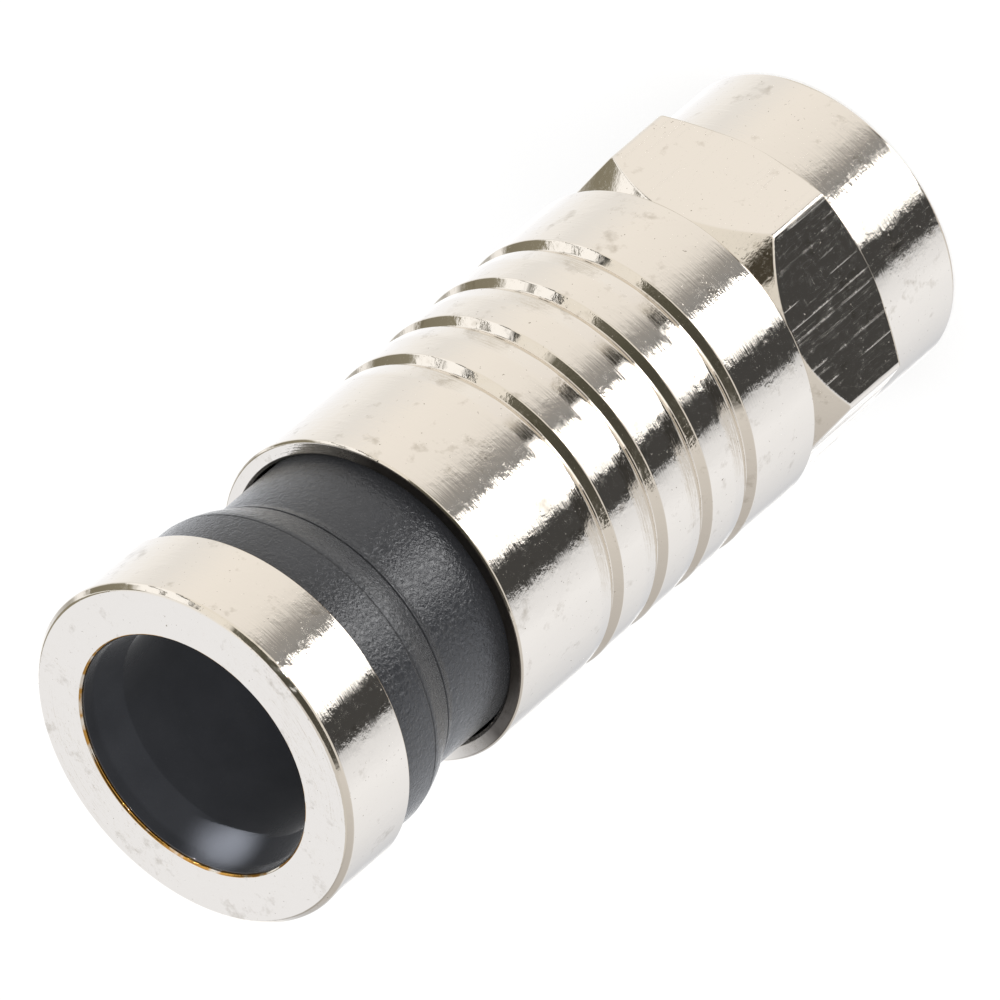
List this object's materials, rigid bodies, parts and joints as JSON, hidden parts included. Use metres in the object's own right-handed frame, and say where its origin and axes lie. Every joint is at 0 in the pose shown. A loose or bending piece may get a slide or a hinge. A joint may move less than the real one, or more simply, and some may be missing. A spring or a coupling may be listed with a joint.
{
  "type": "compression f connector",
  "caption": "Coaxial compression F connector: hex coupling nut that spins on a barbed post, grooved tubular body and a sleeve with end cap that presses in to grip the cable.",
  "frame": {"origin": "centre of the coupling nut's open face, which the part stands on", "axes": "+Z runs along the connector to the cable entry; a flat of the nut faces +X"},
  "size_m": [0.0126, 0.0128, 0.033],
  "materials": {
    "nut_plating": "bright nickel plate on turned brass",
    "post_plating": "bright nickel plate on turned brass",
    "seal_rubber": "matt EPDM rubber",
    "body_plating": "bright nickel plate on turned brass",
    "sleeve_plastic": "satin black acetal, moulded",
    "cap_plating": "bright nickel plate on turned brass"
  },
  "bodies": {
    "body": {"body_shell": "body_plating", "inner_post": "post_plating", "nut_seal_ring": "seal_rubber"},
    "nut": {"coupling_nut": "nut_plating"},
    "sleeve": {"compression_sleeve": "sleeve_plastic", "end_cap": "cap_plating"}
  },
  "joints": [
    {"name": "nut_spin", "type": "hinge", "parent": "body", "child": "nut", "pos_m": [0, 0, 0.0058], "axis": [0, 0, 1], "continuous": true},
    {"name": "sleeve_press", "type": "slide", "parent": "body", "child": "sleeve", "axis": [0, 0, -1], "range_m": [0, 0.00305]}
  ]
}
